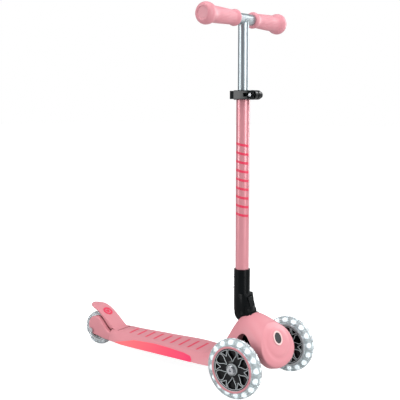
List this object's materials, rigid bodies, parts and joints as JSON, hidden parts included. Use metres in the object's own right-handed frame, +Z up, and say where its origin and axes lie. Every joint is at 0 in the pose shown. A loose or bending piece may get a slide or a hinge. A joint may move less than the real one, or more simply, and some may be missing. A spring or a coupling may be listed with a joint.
{
  "type": "kick scooter",
  "caption": "Folding three-wheeled child's kick scooter: lean-steered light-up front wheels, low deck with a rear brake, and a height-adjustable T-bar.",
  "frame": {"origin": "on the ground, at the middle of the scooter's footprint", "axes": "+Z up, -Y the way the scooter rolls, +X to the rider's left"},
  "size_m": [0.2784, 0.5682, 0.7691],
  "materials": {
    "pink_plastic": "satin moulded plastic",
    "pink_paint": "satin powder coat",
    "pink_rubber": "soft satin",
    "coral_rubber": "satin soft inlay",
    "pale_plastic": "gloss",
    "black_plastic": "satin moulded",
    "dark_button": "semi gloss",
    "black_metal": "semi gloss coat",
    "hub_plastic": "gloss moulded",
    "steel": "zinc plated",
    "spring_steel": "bright wire",
    "bearing_bronze": "sintered bush",
    "magnet_metal": "nickel plated",
    "clear_tyre": "clear cast polyurethane",
    "light": "clear lens",
    "silver_tube": "silver anodised"
  },
  "bodies": {
    "deck": {"deck_shell": "pink_plastic", "underside_cover": "black_plastic", "deck_screws": "steel", "deck_side_panels": "coral_rubber", "deck_grip_pattern": "coral_rubber", "head_cover": "pink_plastic", "button_bezel": "pale_plastic", "steering_head": "black_plastic", "kingpin": "steel", "kingpin_nut": "steel", "kingpin_washers": "steel", "lock_spring": "spring_steel", "steering_springs": "spring_steel", "rear_axle": "steel", "rear_axle_nut": "steel", "rear_spacers": "steel", "rear_middle_spacer": "steel", "brake_pin": "steel", "brake_spring": "spring_steel", "fold_base": "black_metal"},
    "truck": {"truck": "black_plastic", "truck_bushings": "bearing_bronze", "front_axle_bolts": "steel", "magnet_spacers": "magnet_metal"},
    "lock_button": {"lock_button": "dark_button"},
    "rear_wheel": {"rear_tyre": "clear_tyre", "rear_hub": "hub_plastic", "rear_bearings": "steel"},
    "brake": {"brake_pedal": "pink_plastic", "brake_pad": "black_plastic", "brake_badge": "coral_rubber"},
    "mast": {"fold_pin": "steel", "fold_knuckle": "black_plastic", "fold_spring": "spring_steel", "socket_screws": "steel", "outer_tube": "pink_paint", "tube_stripes": "coral_rubber", "top_bush": "black_plastic", "clamp_collar": "black_metal", "clamp_bolt": "steel", "clamp_nut": "black_metal", "clamp_pin": "steel"},
    "fold_button": {"fold_button": "dark_button"},
    "clamp_lever": {"clamp_lever": "dark_button"},
    "handlebar": {"inner_tube": "silver_tube", "slide_bush": "black_plastic", "crossbar": "silver_tube", "right_grip": "pink_rubber", "left_grip": "pink_rubber"},
    "right_wheel": {"right_tyre": "clear_tyre", "right_hub": "hub_plastic", "right_trim_ring": "pink_plastic", "right_bearings": "steel", "right_lights": "light"},
    "left_wheel": {"left_tyre": "clear_tyre", "left_hub": "hub_plastic", "left_trim_ring": "pink_plastic", "left_bearings": "steel", "left_lights": "light"}
  },
  "joints": [
    {"name": "lean_steer", "type": "hinge", "parent": "deck", "child": "truck", "pos_m": [0, -0.21728, 0.08714], "axis": [0, -0.9272, 0.3746], "range_deg": [-12, 12], "stiffness_Nm_per_rad": 28, "deforming": ["steering_springs"]},
    {"name": "right_wheel_spin", "type": "hinge", "parent": "truck", "child": "right_wheel", "pos_m": [-0.1029, -0.2236, 0.0605], "axis": [1, 0, 0], "continuous": true},
    {"name": "left_wheel_spin", "type": "hinge", "parent": "truck", "child": "left_wheel", "pos_m": [0.1029, -0.2236, 0.0605], "axis": [1, 0, 0], "continuous": true},
    {"name": "rear_wheel_spin", "type": "hinge", "parent": "deck", "child": "rear_wheel", "pos_m": [0, 0.2441, 0.04], "axis": [1, 0, 0], "continuous": true},
    {"name": "brake_press", "type": "hinge", "parent": "deck", "child": "brake", "pos_m": [0, 0.1744, 0.043], "axis": [1, 0, 0], "range_deg": [-4.5, 0], "stiffness_Nm_per_rad": 6, "springref_deg": 2.86, "deforming": ["brake_spring"]},
    {"name": "lock_press", "type": "slide", "parent": "deck", "child": "lock_button", "axis": [0, 0.9272, -0.3746], "range_m": [0, 0.003], "stiffness_N_per_m": 600, "deforming": ["lock_spring"]},
    {"name": "mast_fold", "type": "hinge", "parent": "deck", "child": "mast", "pos_m": [0, -0.1796, 0.147], "axis": [-1, 0, 0], "range_deg": [0, 90]},
    {"name": "fold_release", "type": "slide", "parent": "mast", "child": "fold_button", "axis": [0, 1, 0], "range_m": [0, 0.003], "stiffness_N_per_m": 900, "deforming": ["fold_spring"]},
    {"name": "height_slide", "type": "slide", "parent": "mast", "child": "handlebar", "axis": [0, 0, 1], "range_m": [-0.1, 0]},
    {"name": "clamp_release", "type": "hinge", "parent": "mast", "child": "clamp_lever", "pos_m": [-0.0205, -0.1996, 0.596], "axis": [0, 0, 1], "range_deg": [0, 110]}
  ]
}
